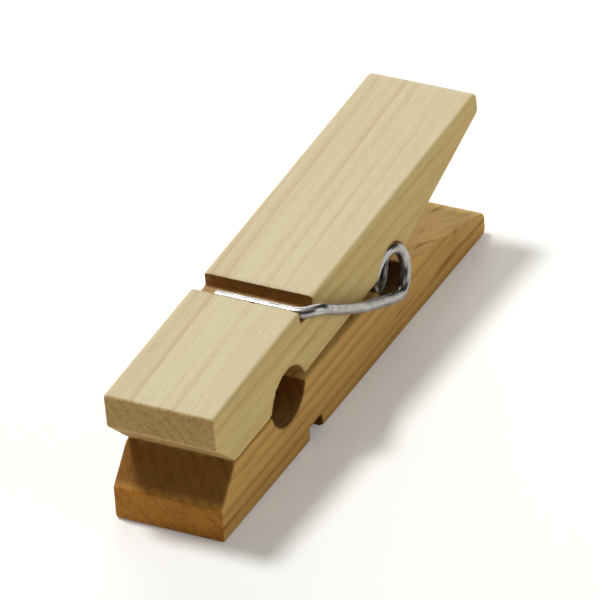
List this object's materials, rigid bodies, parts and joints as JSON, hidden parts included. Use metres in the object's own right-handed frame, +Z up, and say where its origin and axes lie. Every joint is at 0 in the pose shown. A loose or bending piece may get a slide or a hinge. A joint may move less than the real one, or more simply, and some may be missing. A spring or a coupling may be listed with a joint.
{
  "type": "clothespin",
  "caption": "Wooden spring clothespin: tapered legs pivot on a coiled wire spring whose hooked arms tie them together and close the notched jaws on a clothesline.",
  "frame": {"origin": "centre of the lower leg's outer face, on the plane that the pin rests on", "axes": "+X from the jaws to the handle tips, +Y across the legs and along the coil, +Z up, from the lower leg to the upper one"},
  "size_m": [0.0603, 0.0154, 0.0173],
  "materials": {
    "leg_wood": "bare planed wood, unsealed, pale and straight-grained",
    "spring_wire": "bright plated spring wire, smooth"
  },
  "bodies": {
    "lower_leg": {"lower_leg": "leg_wood"},
    "upper_leg": {"upper_leg": "leg_wood"},
    "spring": {"torsion_spring": "spring_wire"}
  },
  "joints": [
    {"name": "jaw_hinge", "type": "hinge", "parent": "lower_leg", "child": "upper_leg", "pos_m": [0.0086, 0, 0.00821], "axis": [0, 1, 0], "range_deg": [0, 30], "stiffness_Nm_per_rad": 0.55, "springref_deg": -1.32, "deforming": ["torsion_spring"]},
    {"name": "spring_turn", "type": "hinge", "parent": "lower_leg", "child": "spring", "pos_m": [0.0086, 0, 0.00821], "axis": [0, 1, 0], "range_deg": [0, 15]}
  ],
  "couplings": [
    {"joint": "spring_turn", "follows": "jaw_hinge", "ratio": 0.5}
  ]
}
